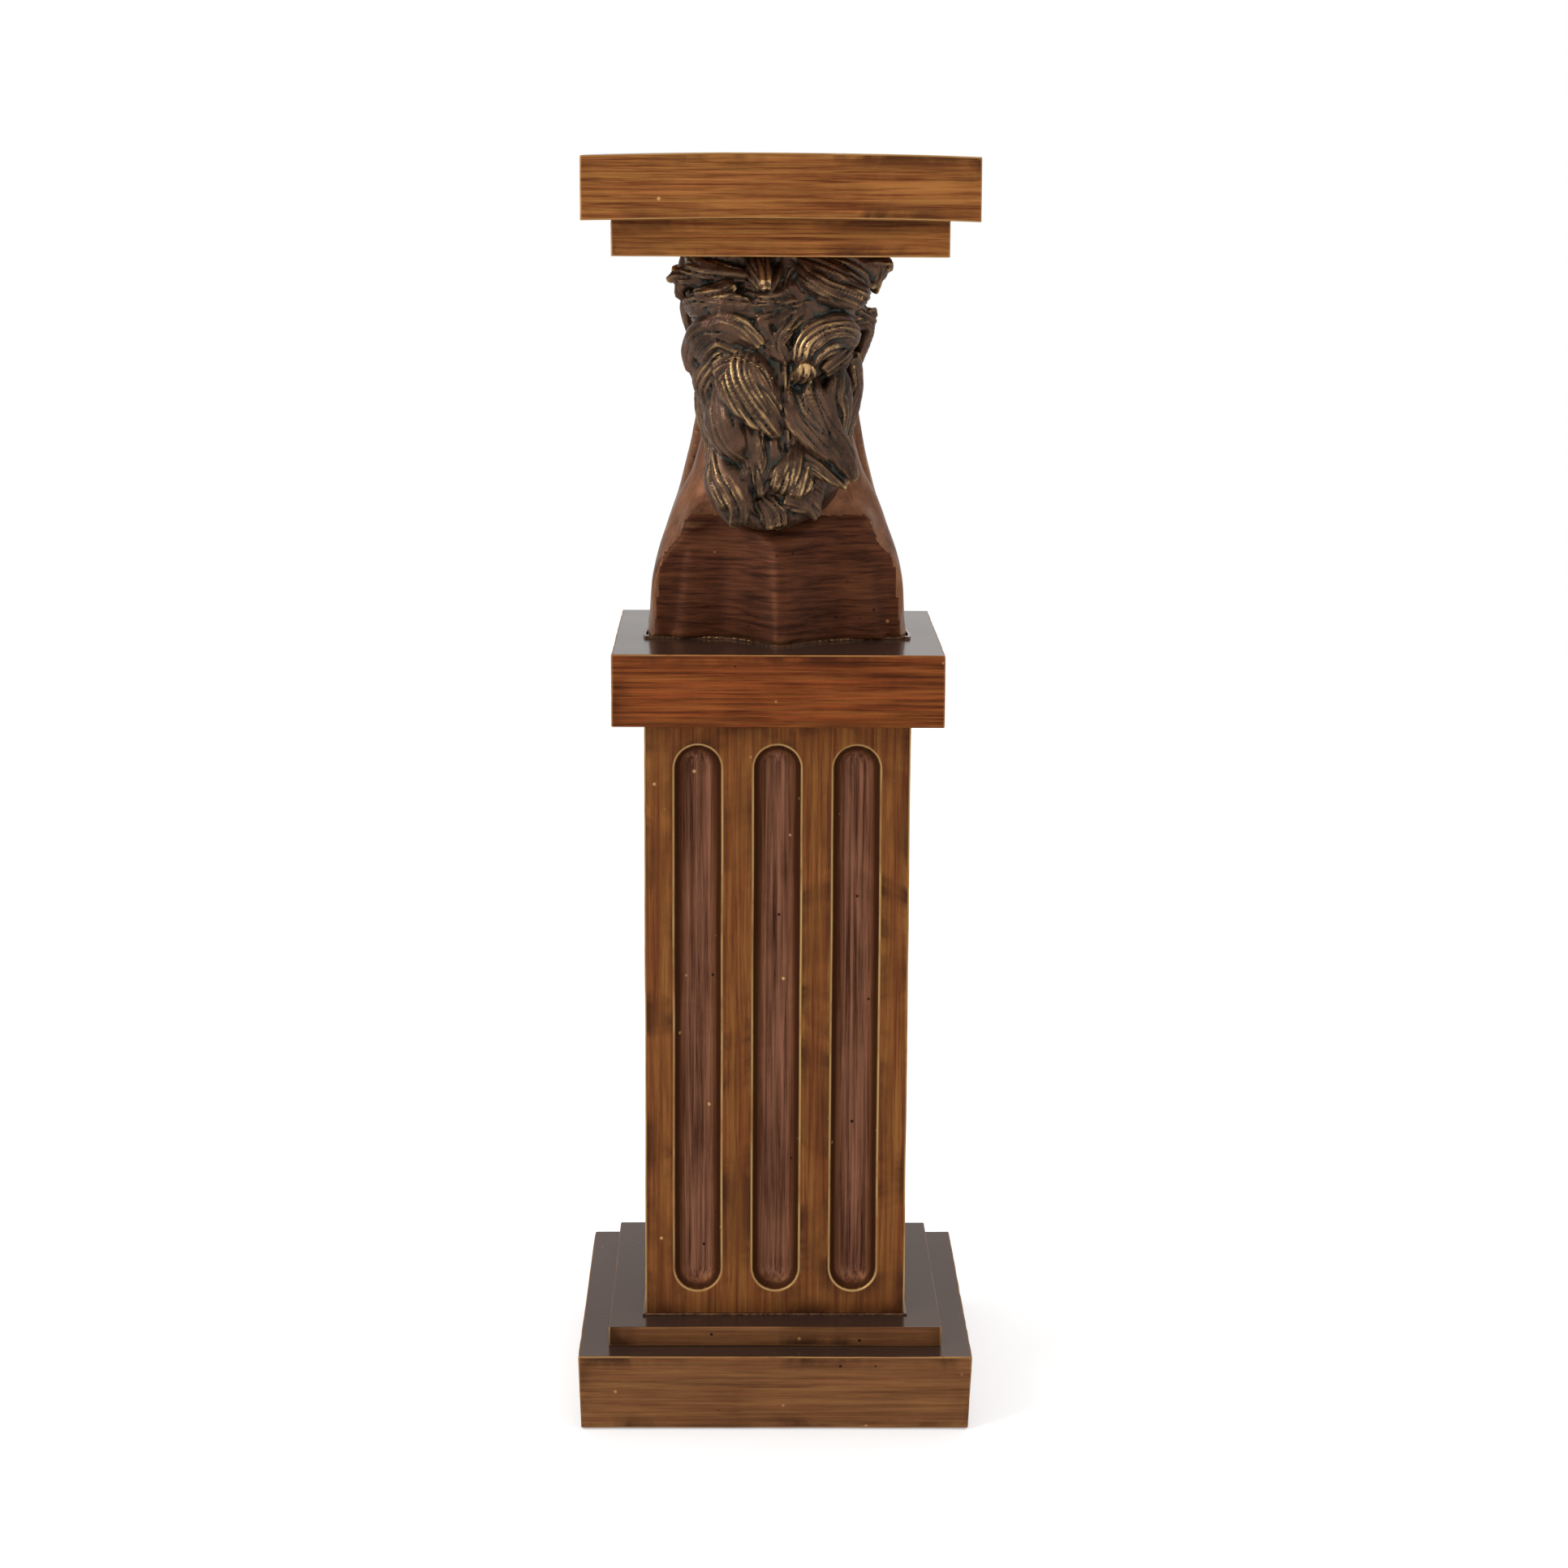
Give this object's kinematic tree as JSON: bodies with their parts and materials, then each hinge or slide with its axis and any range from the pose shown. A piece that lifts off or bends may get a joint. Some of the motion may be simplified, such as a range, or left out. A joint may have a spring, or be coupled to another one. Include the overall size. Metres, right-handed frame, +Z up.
{
  "type": "pedestal table",
  "caption": "Tall square pedestal table of cast bronze: a fluted square column on a stepped base carries a horse bust under a thick square top.",
  "frame": {"origin": "on the floor under the middle of the square base", "axes": "+Z up, +Y the way the horse's head looks, +X to the right as seen from behind the bust"},
  "size_m": [0.3178, 0.3178, 1.016],
  "materials": {
    "brown_bronze": "brushed brown patina under clear lacquer",
    "neck_bronze": "soft brown patina under clear lacquer",
    "mane_bronze": "dark brown and green patina with rubbed gold edges",
    "weld": "rough weld bead under patina",
    "inner_bronze": "bare cast bronze",
    "steel": "zinc-plated steel",
    "painted_steel": "satin black paint",
    "pad_rubber": "matte black rubber"
  },
  "bodies": {
    "root": {"table_top": "brown_bronze", "top_step": "brown_bronze", "cap_slab": "brown_bronze", "column_front": "brown_bronze", "column_right": "brown_bronze", "column_back": "brown_bronze", "column_left": "brown_bronze", "base_step": "brown_bronze", "base_slab": "brown_bronze", "neck": "neck_bronze", "head": "neck_bronze", "ear_left": "neck_bronze", "ear_right": "neck_bronze", "mane_crest": "mane_bronze", "mane_left_curl": "mane_bronze", "mane_right_curl": "mane_bronze", "mane_left_fall": "mane_bronze", "mane_right_fall": "mane_bronze", "forelock": "mane_bronze", "bust_weld_bead": "weld", "column_weld_bead": "weld", "bust_top_plate": "inner_bronze", "bust_base_plate": "inner_bronze", "bust_top_bolts": "steel", "bust_top_washers": "steel", "table_top_screws": "steel", "bust_base_bolts": "steel", "bust_base_washers": "steel", "cap_strongback": "steel", "base_strongback": "steel", "tie_rod": "steel", "tie_rod_nuts": "steel", "tie_rod_washers": "steel", "base_step_bolts": "steel", "base_step_washers": "steel", "bottom_plate_screws": "steel", "base_bottom_plate": "painted_steel", "floor_pads": "pad_rubber"}
  },
  "joints": []
}
